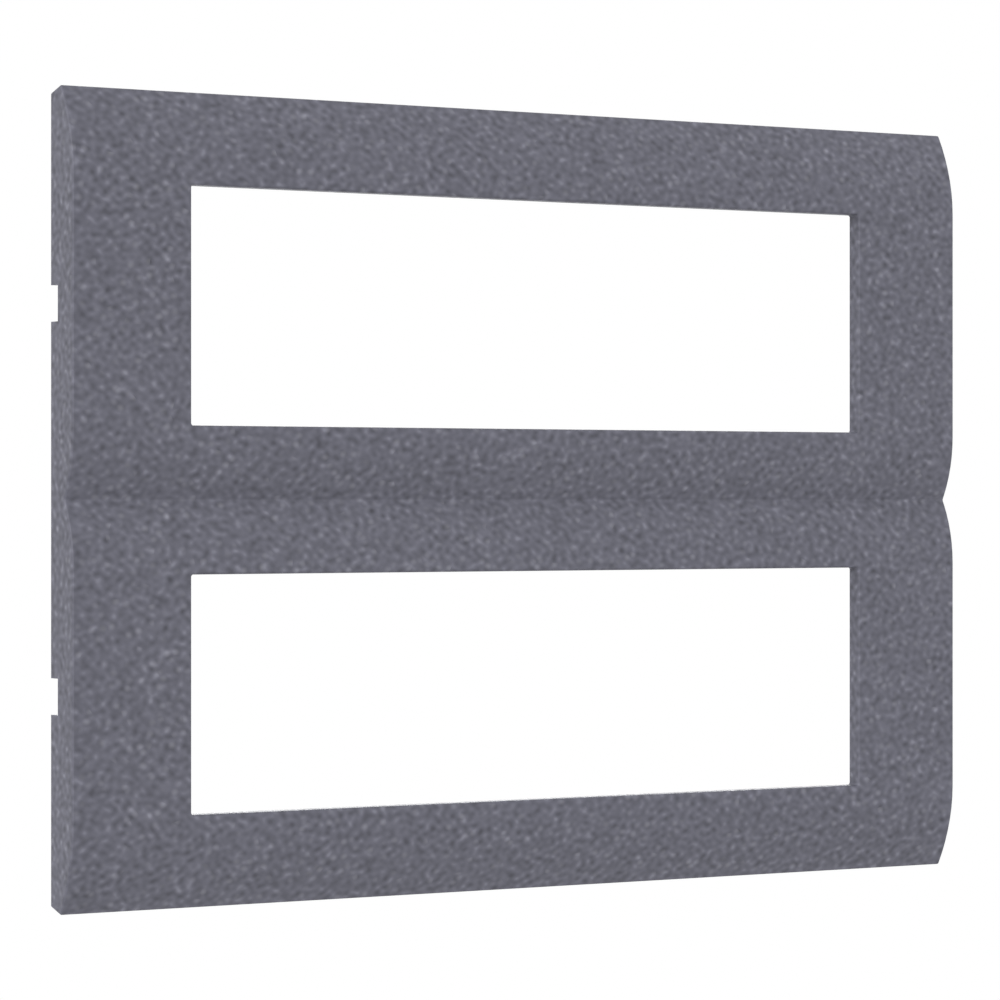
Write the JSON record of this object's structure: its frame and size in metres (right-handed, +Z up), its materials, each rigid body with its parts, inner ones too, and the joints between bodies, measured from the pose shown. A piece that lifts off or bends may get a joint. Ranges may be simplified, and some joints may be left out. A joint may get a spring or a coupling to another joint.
{
  "type": "switch frame",
  "caption": "Rectangular wall cover frame for wiring modules: long module windows in stacked rows, sloped outer edges and a V-shaped valley between the rows; clips onto a support frame behind.",
  "frame": {"origin": "centre of the wall-side rim, midway between the rows, on the plane that touches the wall", "axes": "+X along the rows, to the right seen from the front; +Y into the wall, so the front faces -Y; +Z up"},
  "size_m": [0.208, 0.0086, 0.1538],
  "materials": {
    "graphite_plastic": "satin dark grey with a fine metallic speckle"
  },
  "bodies": {
    "root": {"cover_frame": "graphite_plastic"}
  },
  "joints": []
}
